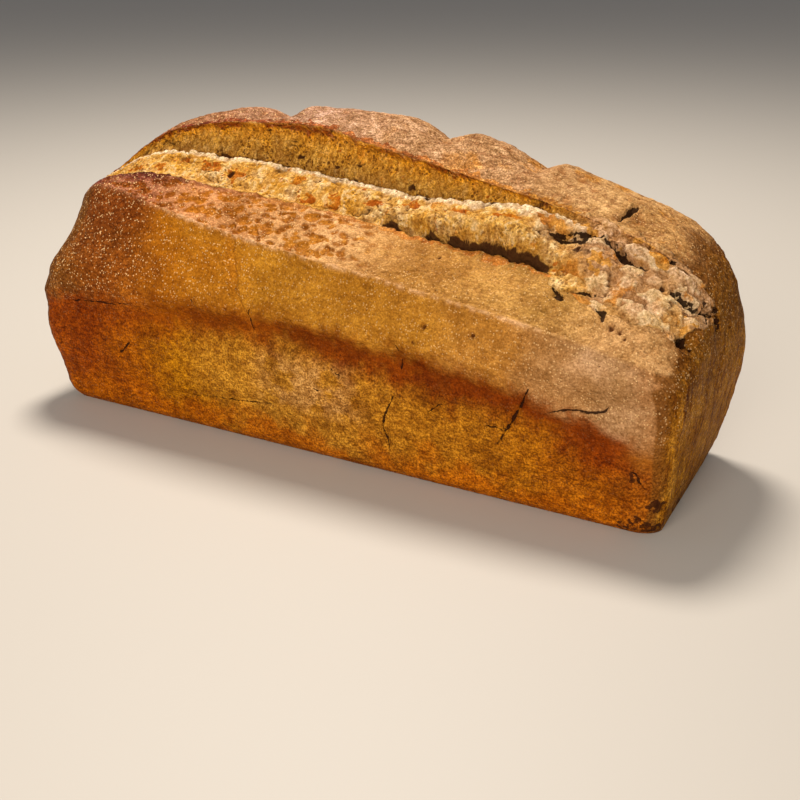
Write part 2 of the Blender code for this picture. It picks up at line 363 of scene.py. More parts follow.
def grid_normals(grid):
    """Outward normals of a grid that closes on itself along its second axis."""
    across = np.roll(grid, -1, axis=1) - np.roll(grid, 1, axis=1)
    lengthwise = np.gradient(grid, axis=0)
    normals = np.cross(lengthwise, across)
    size = np.linalg.norm(normals, axis=2, keepdims=True)
    return normals / np.maximum(size, 1e-12)


# ---------------------------------------------------------------- relief and marks

# Cracks in the top: half width, depth, then (X, Y) points in plan
TOP_CRACKS = [
    (0.16, 0.50, [(8.5, -1.2), (9.0, -1.1), (9.6, -0.9), (10.1, -0.6), (10.4, -0.55)]),
    (0.13, 0.42, [(10.4, -0.65), (10.9, -0.8), (11.3, -1.0), (11.8, -1.1), (12.3, -1.1)]),
    (0.06, 0.15, [(12.6, -0.3), (12.9, -0.15), (13.2, 0.0)]),
    (0.14, 0.50, [(13.3, -1.2), (13.7, -1.2), (13.9, -1.2), (14.2, -1.1), (14.3, -0.9)]),
    (0.11, 0.40, [(14.25, -0.95), (14.5, -0.75), (14.65, -0.3), (14.7, 0.3)]),
    (0.05, 0.10, [(14.3, -0.2), (14.5, -0.6), (14.7, -1.0)]),
    (0.17, 0.50, [(14.05, -2.75), (14.3, -2.6), (14.6, -2.4)]),
    (0.09, 0.20, [(9.35, -2.9), (9.6, -3.1), (9.95, -3.2)]),
    (0.05, 0.10, [(9.9, -2.95), (10.4, -2.7), (10.9, -2.7), (11.4, -2.45)]),
    (0.07, 0.15, [(11.25, -3.2), (11.5, -3.3), (11.7, -3.6)]),
    (0.09, 0.30, [(10.45, 0.45), (10.7, 0.8), (10.75, 1.1), (10.85, 1.6)]),
]
# Cracks in the front wall: half width, depth, then (X, Z) points
FRONT_CRACKS = [
    (0.042, 0.08, [(9.45, 5.25), (9.2, 4.65), (8.95, 4.1), (8.6, 3.35), (8.15, 2.6)]),
    (0.034, 0.05, [(10.2, 4.35), (10.7, 4.6), (11.3, 4.7), (11.8, 4.7), (12.4, 4.9), (12.6, 5.15)]),
    (0.034, 0.05, [(-9.35, 3.65), (-9.65, 3.35), (-10.05, 3.0), (-10.2, 2.65)]),
    (0.024, 0.04, [(-2.8, 6.3), (-3.0, 5.9), (-2.95, 5.5), (-2.85, 5.2)]),
    (0.018, 0.03, [(-12.9, 4.85), (-12.2, 5.0), (-11.1, 5.1), (-10.2, 5.15), (-9.4, 5.3), (-8.6, 5.3)]),
    (0.024, 0.04, [(3.8, 5.9), (4.1, 5.3), (4.0, 4.8)]),
    (0.028, 0.05, [(3.75, 3.75), (3.3, 2.8), (3.1, 2.2), (3.35, 1.4), (3.3, 0.8)]),
    (0.015, 0.02, [(5.2, 3.3), (5.7, 3.7), (6.0, 3.8)]),
    (0.015, 0.02, [(0.85, 4.4), (0.95, 4.2), (1.3, 4.1), (1.25, 3.9)]),
    (0.015, 0.02, [(0.0, 3.3), (0.15, 3.2), (0.3, 3.25)]),
    (0.022, 0.03, [(-5.9, 6.1), (-5.8, 5.85)]),
    (0.026, 0.04, [(13.4, 2.75), (13.6, 2.7), (13.75, 2.4), (14.0, 2.1)]),
    (0.012, 0.02, [(-7.0, 1.55), (-4.2, 1.8), (-1.9, 2.1)]),
    (0.013, 0.02, [(7.6, 3.3), (8.1, 3.35), (8.5, 3.2)]),
]
# Soft creases in the front wall: half width, depth, then (X, Z) points
FRONT_CREASES = [
    (0.20, 0.22, [(-4.2, 8.9), (-4.3, 8.2), (-4.0, 7.5), (-3.8, 6.8), (-3.0, 5.6)]),
    (0.22, 0.05, [(-6.7, 6.5), (-6.0, 6.1), (-5.6, 5.4)]),
    (0.25, 0.06, [(3.6, 6.6), (3.8, 5.9), (4.1, 5.2)]),
    (0.22, 0.06, [(3.8, 3.8), (3.3, 2.8), (3.1, 2.2), (3.4, 1.2)]),
    (0.20, 0.05, [(-7.1, 1.6), (-4.2, 1.8), (-1.3, 2.2), (1.7, 2.4), (3.2, 2.2)]),
    (0.18, 0.04, [(6.0, 2.0), (8.0, 1.9), (10.0, 1.6), (12.5, 1.7)]),
]
# Single pits in the front wall: X, Z, radius, depth
FRONT_PITS = [
    (5.0, 6.75, 0.13, 0.20), (7.0, 6.75, 0.11, 0.12), (-3.85, 6.85, 0.11, 0.12), (-12.4, 5.7, 0.09, 0.08),
    (-13.6, 2.9, 0.10, 0.10), (-8.4, 5.3, 0.07, 0.06), (-7.9, 4.75, 0.07, 0.06), (-0.9, 6.0, 0.07, 0.06),
    (-6.0, 4.0, 0.07, 0.05), (8.3, 4.95, 0.08, 0.06), (9.2, 3.0, 0.12, 0.08), (4.6, 6.1, 0.09, 0.10),
    (13.8, 0.7, 0.12, 0.10), (14.1, 0.4, 0.12, 0.08), (13.5, 2.3, 0.08, 0.05),
]
# Single pits in the top: X, Y, radius, depth
TOP_PITS = [
    (12.0, -3.6, 0.13, 0.22), (12.35, -3.65, 0.09, 0.12), (13.0, -1.35, 0.14, 0.15), (4.6, -2.7, 0.10, 0.08),
    (10.3, -2.2, 0.06, 0.06), (9.6, -0.3, 0.07, 0.08), (12.9, 0.2, 0.08, 0.12), (12.6, -3.8, 0.07, 0.06),
]
# Blackened spots at the right corner of the base: X, Z, radius
BURNT = [(13.7, 0.6, 0.5), (14.1, 0.35, 0.5), (13.2, 0.35, 0.4), (13.6, 2.5, 0.35), (14.3, 1.3, 0.4)]
# Lumps standing up at the cracked end: X, Y, half length, half width, height
TOP_LUMPS = [
    (10.3, -1.8, 1.5, 0.75, 0.28), (11.8, -2.0, 0.9, 0.60, 0.22), (12.3, -2.75, 1.2, 0.50, 0.14),
    (13.5, -1.9, 0.6, 0.45, 0.16), (14.4, -1.8, 0.4, 0.50, 0.22), (12.1, -0.5, 0.9, 0.30, 0.16),
    (13.4, -0.5, 0.5, 0.40, 0.14), (8.2, -0.9, 0.9, 0.5, 0.10),
]
# Orange toasted patches on the crumb: X, Y, half length, half width
TOASTED = [
    (-11.6, -0.9, 0.8, 0.35), (-10.2, -1.0, 0.5, 0.3), (-9.3, -0.5, 0.5, 0.3), (-7.6, -0.7, 0.9, 0.4),
    (-6.1, -0.9, 0.6, 0.4), (-3.1, -0.7, 0.5, 0.4), (-2.3, -1.3, 0.7, 0.3), (-1.0, -1.2, 0.4, 0.3),
    (0.6, -1.0, 0.6, 0.3), (2.4, -0.9, 0.5, 0.3), (8.4, -0.8, 1.1, 0.35), (9.7, -0.45, 0.7, 0.3),
    (9.6, -1.95, 0.8, 0.32), (10.7, -1.55, 0.7, 0.35), (11.7, -0.1, 0.7, 0.3), (12.5, -0.5, 0.7, 0.3),
    (10.4, -3.0, 0.8, 0.2), (14.4, -1.9, 0.5, 0.6), (4.5, -1.2, 1.5, 0.2), (6.8, -1.3, 1.2, 0.2),
]
# Folds between swells of the dome: X, depth, and how far each runs out to its left and its right
SWELL_FOLDS = [(-5.45, 0.45, 1.6, 1.3), (2.4, 0.52, 1.9, 1.3), (6.8, 0.44, 2.6, 0.7)]
CRACK_REACH = 0.3  # how far from a crack its distance is still marked
BOX_MARGIN = 0.001  # how far inside the CAD part's box everything stays
# Lines along the edges of the top: name, the run that starts at the edge, and the line's width in columns
EDGE_LINES = [("ridge", "flap", 2.0), ("torn", "crumb", 7.0), ("crest", "gap", 9.0), ("lip", "dome", 3.5)]
# Where the cracked crumb at the right end has its front edge: X, then Y
ROUGH_FRONT_X = (8.8, 10.0, 11.2, 12.4, 14.0)
ROUGH_FRONT_Y = (-2.6, -2.9, -3.3, -3.3, -2.9)

# Depths and heights of the relief, in centimetres
VALLEY_DEPTH = 0.13
FOLD_STRENGTH = 1.1
POCK_DEPTH = 0.17
DIMPLE_DEPTH = 0.05
DOME_POCK_DEPTH = 0.06
DOME_DIMPLE_DEPTH = 0.02
TORN_EDGE_HEIGHT = 0.10
RIDGE_HEIGHT = 0.02
CREVICE_DEPTH = 0.10
PORE_DEPTH = 0.05
HOLE_DEPTH = 0.11


def draw_cracks(moved, marks, here, first, second, lines, wander):
    """Grooves along straight pieces between points, and how far aside of each crack a point lies.

    The distance has a sign for the side of the crack, so it stays true between points of the mesh.
    Cracks taper towards their two ends. Where marks is None, only the grooves are drawn."""
    index = np.flatnonzero(here)
    first, second = first[here] + wander[here, 0], second[here] + wander[here, 1]
    for half_width, deepest, points in lines:
        points = np.array(points)
        total = np.hypot(*np.diff(points, axis=0).T).sum()
        low, high = points.min(0) - CRACK_REACH - 0.1, points.max(0) + CRACK_REACH + 0.1
        near = np.flatnonzero((first > low[0]) & (first < high[0]) & (second > low[1]) & (second < high[1]))
        a, b = first[near], second[near]
        aside, side, place, gone = np.full(len(a), 9.0), np.ones(len(a)), np.zeros(len(a)), 0.0
        for start, stop in zip(points, points[1:]):
            step = stop - start
            length = math.hypot(*step)
            t = np.clip(((a - start[0]) * step[0] + (b - start[1]) * step[1]) / length**2, 0.0, 1.0)
            apart = np.hypot(a - start[0] - t * step[0], b - start[1] - t * step[1])
            nearer = apart < aside
            place[nearer] = gone + t[nearer] * length
            turn = step[0] * (b - start[1]) - step[1] * (a - start[0])
            side[nearer] = np.where(turn[nearer] < 0, -1.0, 1.0)
            aside = np.minimum(aside, apart)
            gone += length
        taper = np.clip(np.minimum(place, total - place) / (0.25 * total), 0.0, 1.0) ** 0.6
        target = index[near]
        groove = max(1.3 * half_width, 0.08)
        close = np.clip(1.0 - aside / groove, 0.0, 1.0)
        moved[target] = np.minimum(moved[target], -deepest * taper * close * (2 - close))
        if marks is None:
            continue
        closer = (aside < CRACK_REACH) & (aside < marks["crack_aside"][target])
        for mark, values in (("aside", aside), ("side", side), ("width", half_width * taper)):
            marks["crack_" + mark][target[closer]] = values[closer]


def draw_pits(moved, marks, here, first, second, pits, wander):
    """Single round pits with uneven edges, and painted shade marked in each pit."""
    index = np.flatnonzero(here)
    first, second = first[here] + wander[here, 0], second[here] + wander[here, 1]
    for a, b, radius, deepest in pits:
        close = np.clip(1.0 - np.hypot(first - a, second - b) / (1.3 * radius), 0.0, 1.0)
        moved[index] -= deepest * ease(close, 0.0, 0.7)
        # Painted shade in each pit, marked dark for the material
        marks["dark"][index] = np.maximum(marks["dark"][index], 0.85 * ease(close, 0.1, 0.8))


def near_spots(first, second, spots):
    """How near each point is to the middle of any of some (A, B, half length, half width) spots."""
    best = np.zeros(len(first))
    for a, b, half_length, half_width in spots:
        best = np.maximum(best, 1.0 - np.hypot((first - a) / half_length, (second - b) / half_width))
    return best


def lump_heights(x, y):
    """Height of the lumps at the cracked end."""
    heights = [tall * ease(near_spots(x, y, [spot]), 0.0, 0.35) for *spot, tall in TOP_LUMPS]
    return np.max(heights, axis=0)


def run_shares(shape, columns):
    """For every point, how much it belongs to each run of the loop, from 0 to 1."""
    column = np.broadcast_to(np.arange(shape[1]), shape[:2]).reshape(-1).astype(float)
    soft = 3.0 * FINENESS
    shares = {
        name: ease(column, start - soft, start + soft) * ease(column, end + soft, end - soft)
        for name, (start, end) in columns.items()
    }
    for name, run, width in EDGE_LINES:
        shares[name + "_line"] = np.exp(-(((column - columns[run][0]) / (width * FINENESS)) ** 2))
    floor, lip = columns["wall"]
    shares["up_wall"] = np.clip((column - floor) / (lip - floor), 0.0, 1.0) * (column < lip + 3)
    return shares


def crust_relief(moved, marks, points, share):
    """Unevenness, folds, pock marks and wrinkles of the crust."""
    x, y, z = points.T
    crust = 1 - marks["crumb"]
    # Folds between the swells of the dome
    behind = share["dome"] * ease(y, 0.9, 1.7)
    for place, deepest, left, right in SWELL_FOLDS:
        away = x - place + 0.12 * noise(points, 1.5, 31)
        aside = np.where(away < 0, 1 + away / left, 1 - away / right)
        moved -= behind * deepest * ease(aside, 0, 1.15) * FOLD_STRENGTH
    # The valley where the crust came out over the tin's rim
    walls = np.clip(share["front"] + share["back"], 0, 1)
    rim = z - BAND_Z(x) + 0.12 * noise(points, 1.6, 33) + 0.05 * noise(points, 0.5, 34)
    marks["rim"] = rim
    valley = VALLEY_DEPTH * ease(rim, 0.25, -0.35) * ease(rim, -2, -0.5)
    moved -= walls * valley * ease(x, 14.8, 12.5) * ease(y, 4, -3)
    # Broad unevenness and grain
    moved += crust * walls * ease(z, 0.1, 0.8) * 0.055 * noise(points, 2.2, 41)
    moved += crust * walls * ease(z, 0.1, 0.8) * 0.020 * layered(points, 0.5, 2, 42)
    wrinkles = layered(points / np.array((1.6, 1, 1)), 0.22, 2, 45, 0.6)
    moved += crust * ease(z, 0.05, 0.4) * (0.008 + 0.008 * ease(rim, 0, -1.5)) * wrinkles
    # Pock marks, close together on the flap and few on the dome
    on_top = np.flatnonzero((share["flap"] + share["dome"] > 0.02) & (z > 6.5))
    bent = points[on_top] + 0.16 * noise(points[on_top], 0.45, 52)[:, None]
    near, number = scattered(bent, np.array((0.66, 0.46, 0.48)), 51, 0.95)
    more, second = scattered(bent, np.array((0.48, 0.36, 0.38)), 55, 0.8)
    near, number = np.maximum(near, 0.9 * more), np.where(more > near, 0.8 * second, number)
    small, _ = scattered(bent, np.array((0.30, 0.22, 0.24)), 53, 0.55)
    pock, lot, dimple = np.zeros(len(x)), np.zeros(len(x)), np.zeros(len(x))
    pock[on_top], lot[on_top], dimple[on_top] = ease(near, 0.02, 0.62), number, ease(small, 0.1, 0.7)
    crowd = share["flap"] * crust * (0.10 + 0.9 * ease(x, 3.5, -2) * ease(x, -13, -10.5))
    crowd *= 1 - 0.6 * share["ridge_line"]
    moved -= POCK_DEPTH * pock * crowd * (0.3 + 0.7 * lot) + DIMPLE_DEPTH * dimple * share["flap"] * crust
    on_dome = share["dome"] * crust
    few = on_dome * (lot > 0.86)
    moved -= DOME_POCK_DEPTH * pock * few + DOME_DIMPLE_DEPTH * dimple * on_dome
    marks["pock"] = np.clip(pock * (crowd * (0.45 + 0.55 * lot) + 0.6 * few), 0, 1)
    top = on_dome + share["flap"] * crust
    moved += top * (0.03 * noise(points, 0.9, 57) + 0.02 * layered(points, 0.30, 2, 59, 0.7))
    folds = layered(points / np.array((2.6, 0.8, 1)), 0.26, 2, 58, 0.7)
    moved += on_dome * 0.026 * folds
    # The grooves between the folds, marked for painted shade
    marks["wrinkle"] = on_dome * ease(folds, -0.05, -0.7)
    # The ridge stands a little proud, and so does the torn edge of the flap
    moved += RIDGE_HEIGHT * share["ridge_line"] * ease(x, -9, -5) * ease(x, 12, 8)
    ragged = 0.5 + layered(points, 0.6, 2, 60, 0.7)
    moved += TORN_EDGE_HEIGHT * share["torn_line"] * ease(x, 1, 3) * ease(x, 9.5, 8.5) * ragged


def crumb_relief(moved, marks, points, share):
    """Lumps, torn fibres, and the crevices and pores between them, with painted shade marked in these hollows
    and in the gaps.
    """
    torn = np.flatnonzero(marks["crumb"] > 0.02)
    in_crumb = marks["crumb"][torn]
    here = points[torn]
    along_fibre = here / np.array((1, 2.4, 2.4))
    at_end = ease(here[:, 0] + 0.3 * noise(here, 0.8, 60), 8.9, 9.6)
    clumps = layered(here, 0.60, 2, 61)
    fibres = layered(along_fibre, 0.17, 2, 64, 0.6)
    grains = layered(here, 0.20, 2, 67, 0.6)
    layers = noise(here / np.array((2.2, 1, 0.8)), 0.40, 75)
    crevice = (1 - ease(np.abs(layers), 0, 0.13)) * ease(noise(here, 1.1, 76), 0, 0.35)
    pores, lot = scattered(here / np.array((1.3, 1, 1)), np.array((0.19, 0.17, 0.17)), 71, 0.4)
    pores = ease(pores + 0.15 * grains, 0.1, 0.75) * (0.35 + 0.65 * lot)
    bent = here + 0.10 * grains[:, None]
    holes, _ = scattered(bent, np.array((0.50, 0.40, 0.36)), 73, 0.04 + 0.08 * share["wall"][torn])
    holes = ease(holes, 0.1, 0.7)
    # Flat chips of crust and crumb, tilted and cracked apart, at the right end
    bent = here + 0.22 * noise(here, 0.5, 78)[:, None]
    chip, chance = scattered(bent, np.array((0.75, 0.50, 0.55)), 77)
    chips = 0.09 * (chance - 0.5) - 0.04 * ease(chip, 0.12, 0.02)
    inner = 1 - at_end
    push = inner * (0.075 * clumps + 0.035 * fibres + 0.032 * grains) - CREVICE_DEPTH * crevice * inner
    push += at_end * (chips + 0.02 * clumps + 0.014 * grains)
    push -= PORE_DEPTH * pores * inner + HOLE_DEPTH * holes
    moved[torn] += in_crumb * push * (1 - 0.6 * share["lip_line"][torn])
    # Painted shade in the pores, crevices and holes, and between the chips at the right end
    hollow_shade = np.maximum(np.maximum(0.35 * pores, 0.5 * crevice * inner), 0.9 * holes)
    hollow_shade = np.maximum(hollow_shade, 0.45 * at_end * ease(chip, 0.12, 0) * ease(noise(here, 0.8, 79), 0.1, 0.5))
    # Shade deep in the front gap, and in places along the floor of the other
    x, z = here[:, 0], here[:, 2]
    deep = TORN_Z(x) + GAP_SHADE(x) + 0.10 * noise(here, 0.45, 82) + 0.08 * grains - z
    deep = share["crumb"][torn] * ease(deep, 0.02, 0.22) * ease(GAP_SHADE(x), 0.02, 0.12)
    floor = CREST_Z(x) - 0.12 + 0.30 * noise(here, 0.7, 80) + 0.10 * grains - z
    floor = np.clip(share["gap"] + share["wall"], 0, 1)[torn] * ease(floor, 0, 0.25)
    floor *= ease(x, 9.5, 8.5) * ease(x, -11, -9.5)
    hollow_shade = np.maximum(hollow_shade, np.maximum(0.95 * deep, 0.6 * floor))
    # A painted shadow on the crumb just above the front gap, marked low
    low = share["crumb"][torn] * ease(z - TORN_Z(x), 0.9, 0.2) * ease(x, 1.5, 4) * ease(x, 9.4, 8.6)
    marks["low"][torn] = low
    marks["dark"][torn] = np.maximum(marks["dark"][torn], in_crumb * hollow_shade)
    # How far the crumb stands proud, for painted light on raised parts and painted shade on low ones
    proud = clumps + 0.9 * fibres + 0.9 * grains - 1.2 * hollow_shade
    proud = inner * proud + at_end * (1.6 * (chance - 0.5) + 0.4 * grains)
    marks["proud"][torn] = in_crumb * ease(proud, -0.8, 1)
    spots = near_spots(here[:, 0] + 0.25 * grains, here[:, 1] + 0.2 * clumps, TOASTED)
    marks["toast"][torn] = in_crumb * ease(spots + 0.3 * grains + 0.2 * clumps, 0, 0.7)


def relief(points, normals, share):
    """How far each point is moved, and the marks its material reads."""
    x, y, z = points.T
    moved, marks = np.zeros(len(x)), defaultdict(lambda: np.zeros(len(x)))
    marks["crack_aside"] += CRACK_REACH
    marks["crack_side"] += 1
    crumb = np.clip(share["crumb"] + share["gap"] + share["wall"], 0, 1)
    # The torn surface heals over at the left end, and spreads to the front at the cracked right end
    crumb = crumb * ease(x + 0.4 * noise(points, 0.6, 12), -14.4, -13.4)
    uneven = 0.25 * noise(points, 0.7, 11)
    front_edge = np.interp(x, ROUGH_FRONT_X, ROUGH_FRONT_Y)
    rough_end = ease(x + uneven, 8.8, 9.4) * ease(y + uneven, front_edge - 0.1, front_edge + 0.1)
    rough_end *= ease(y, 0.6, -0.2) * ease(z, 6.6, 7.2)
    # The right end face is crust
    end_face = ease(x, 13.6, 14.2) * ease(z + 0.4 * uneven, 7.5, 7.1)
    crumb = np.maximum(crumb, rough_end) * (1 - end_face)
    marks["crumb"] = crumb

    wander = np.stack([noise(points, 0.35, 21), noise(points, 0.35, 22)], 1) * 0.07
    wander += np.stack([noise(points, 0.14, 23), noise(points, 0.14, 24)], 1) * 0.03
    front, top = (y < -3.4) & (z < 8.6), z > 6.2
    draw_cracks(moved, marks, front, x, z, FRONT_CRACKS, 0.6 * wander)
    draw_cracks(moved, marks, top, x, y, TOP_CRACKS, 1.5 * wander)
    draw_pits(moved, marks, front, x, z, FRONT_PITS, wander)
    draw_pits(moved, marks, top, x, y, TOP_PITS, wander)
    creases = np.zeros(len(x))
    draw_cracks(creases, None, (y < -3.4) & (z < 9.3), x, z, FRONT_CREASES, wander)
    moved += creases
    moved[top] += lump_heights(x[top] + 2 * wander[top, 0], y[top] + 2 * wander[top, 1])

    crust_relief(moved, marks, points, share)
    crumb_relief(moved, marks, points, share)
    moved *= ease(z, 0, 0.5) * (1 - share["base"])

    marks["crack_off"] = marks["crack_aside"] * marks["crack_side"]
    burnt = near_spots(x, z, [(a, b, radius, radius) for a, b, radius in BURNT]) * (y < 0)
    marks["burnt"] = ease(burnt + 0.3 * noise(points, 0.25, 81), 0, 0.5)
    marks["end"] = ease(np.abs(normals[:, 0]), 0.35, 0.95)
    marks["up"] = ease(normals[:, 2], 0.12, 0.45)
    marks["wall"] = np.clip(share["wall"] + share["gap"], 0, 1)
    for name in ("flap", "dome", "up_wall", "ridge_line", "crest_line"):
        marks[name] = share[name]
    marks["torn_line"] = share["torn_line"] * ease(x, 10.5, 9.3)
    marks["lip_line"] = share["lip_line"] * ease(x, 13.8, 13)
    del marks["crack_aside"], marks["crack_side"]
    return moved, marks


# ---------------------------------------------------------------- meshes


def inside_box(points):
    """The points kept a hair inside the CAD part's box."""
    low, high = (np.array(corner) / CM for corner in cad_box)
    return np.clip(points, low + BOX_MARGIN, high - BOX_MARGIN)


def piece_mesh(name, grid, normals, marks, first, last):
    """One piece of the surface as a mesh: the grid's columns from first to last."""
    stations, points = grid.shape[:2]
    columns = np.arange(first, last + 1) % points
    width = len(columns)
    used = (np.arange(stations)[:, None] * points + columns[None, :]).reshape(-1)
    corner = (np.arange(stations - 1)[:, None] * width + np.arange(width - 1)[None, :]).reshape(-1)
    quads = np.stack([corner, corner + width, corner + width + 1, corner + 1], 1)
    mesh = bpy.data.meshes.new(name)
    mesh.vertices.add(len(used))
    mesh.vertices.foreach_set("co", (grid.reshape(-1, 3)[used] * CM).astype(np.float32).reshape(-1))
    mesh.loops.add(quads.size)
    mesh.loops.foreach_set("vertex_index", quads.astype(np.int32).reshape(-1))
    mesh.polygons.add(len(quads))
    mesh.polygons.foreach_set("loop_start", np.arange(0, quads.size, 4, dtype=np.int32))
    mesh.update(calc_edges=True)
    mesh.validate()
    mesh.shade_smooth()
    mesh.normals_split_custom_set_from_vertices(normals.reshape(-1, 3)[used])
    for mark, values in marks.items():
        attribute = mesh.attributes.new(mark, "FLOAT", "POINT")
        attribute.data.foreach_set("value", values[used].astype(np.float32))
    return mesh


def build_loaf():
    """Every visible piece of the loaf, as objects in place."""
    columns = run_columns()
    grid = base_surface()
    normals = grid_normals(grid)
    flat = grid.reshape(-1, 3)
    moved, marks = relief(flat, normals.reshape(-1, 3), run_shares(grid.shape, columns))
    grid = inside_box(flat + moved[:, None] * normals.reshape(-1, 3)).reshape(grid.shape)
    normals = grid_normals(grid)
    made = []
    for name, runs in PIECES.items():
        mesh = piece_mesh(name, grid, normals, marks, columns[runs[0]][0], columns[runs[-1]][1])
        piece = bpy.data.objects.new(name, mesh)
        bpy.context.scene.collection.objects.link(piece)
        made.append(piece)
    return made


# ---------------------------------------------------------------- colours

# Along the loaf: X in centimetres, then a colour's screen values up to 255
UPPER_WALL = [
    (-14, 122, 70, 22), (-10.5, 130, 66, 14), (-7.5, 164, 94, 13), (-2, 171, 111, 27),
    (4, 168, 110, 32), (8, 163, 106, 40), (12, 170, 126, 84),
]
LOWER_WALL = [
    (-13, 134, 58, 3), (-10, 154, 80, 4), (-7, 160, 99, 8), (-2, 168, 112, 32),
    (6, 158, 98, 18), (10, 158, 92, 10), (13, 142, 70, 4),
]
RIM_BAND = [(-13, 126, 52, 2), (-6, 134, 64, 2), (2, 112, 45, 1), (9, 108, 40, 1), (12, 120, 48, 2)]
FLAP = [
    (-12, 124, 66, 44), (-9, 164, 102, 64), (-5, 182, 120, 70), (-0.5, 206, 154, 98),
    (4, 166, 114, 50), (9, 168, 121, 58), (13, 178, 130, 78),
]
POCKS = [(-10, 138, 70, 10), (-5, 168, 98, 14), (3, 178, 114, 26)]
DOME = [
    (-11, 142, 92, 58), (-4, 162, 120, 92), (2, 170, 126, 86), (6, 158, 114, 71),
    (10, 184, 138, 84), (14, 178, 128, 72),
]
LIP_EDGE = [(-9, 116, 42, 12), (-3, 158, 80, 28), (3, 166, 96, 38), (7, 176, 114, 40)]
TORN_EDGE = [(-10, 86, 36, 22), (-6, 168, 104, 62), (1, 190, 122, 50), (5, 188, 112, 42)]
# Edges drawn along marked lines: line, raggedness, low, high, most, colours and their mottling
BROWNED_EDGES = [
    ("lip_line", 210, 0.9, 0.45, 0.65, 0.92, LIP_EDGE, 340, (0.44, 0.28, 0.18), (1.28, 1.4, 1.5)),
    ("torn_line", 190, 0.8, 0.45, 0.75, 0.95, TORN_EDGE, 300, (0.66, 0.52, 0.42), (1.18, 1.34, 1.5)),
]
# Up the torn wall, from 0 at its foot to 1 at the lip; the darker foot is painted shade
TORN_WALL = [
    (0.05, 140, 92, 38), (0.3, 196, 142, 64), (0.6, 222, 158, 56), (0.90, 238, 160, 34), (0.98, 160, 76, 16)
]
# From the low to the high of a noise
PALE_CRUMB = [(0.34, 216, 152, 50), (0.5, 232, 180, 96), (0.66, 242, 202, 142)]
TOASTED_CRUMB = [(0.38, 210, 130, 30), (0.6, 176, 86, 12)]
END_STREAKS = [(0.34, 106, 52, 4), (0.48, 152, 94, 14), (0.62, 174, 116, 34)]

CRUST_SPECULAR = 0.04
BUMP_STRENGTH = 0.8
BUMP_HEIGHT = 0.0008  # metres
HALF_SPAN = 0.15  # metres from the loaf's middle over which colours along it may change


def rgb(red, green, blue):
    """A colour given as screen values up to 255, as the linear colour that nodes use."""
    values = [c / 255.0 for c in (red, green, blue)]
    return tuple(c / 12.92 if c <= 0.04045 else ((c + 0.055) / 1.055) ** 2.4 for c in values) + (1.0,)


# ---------------------------------------------------------------- materials


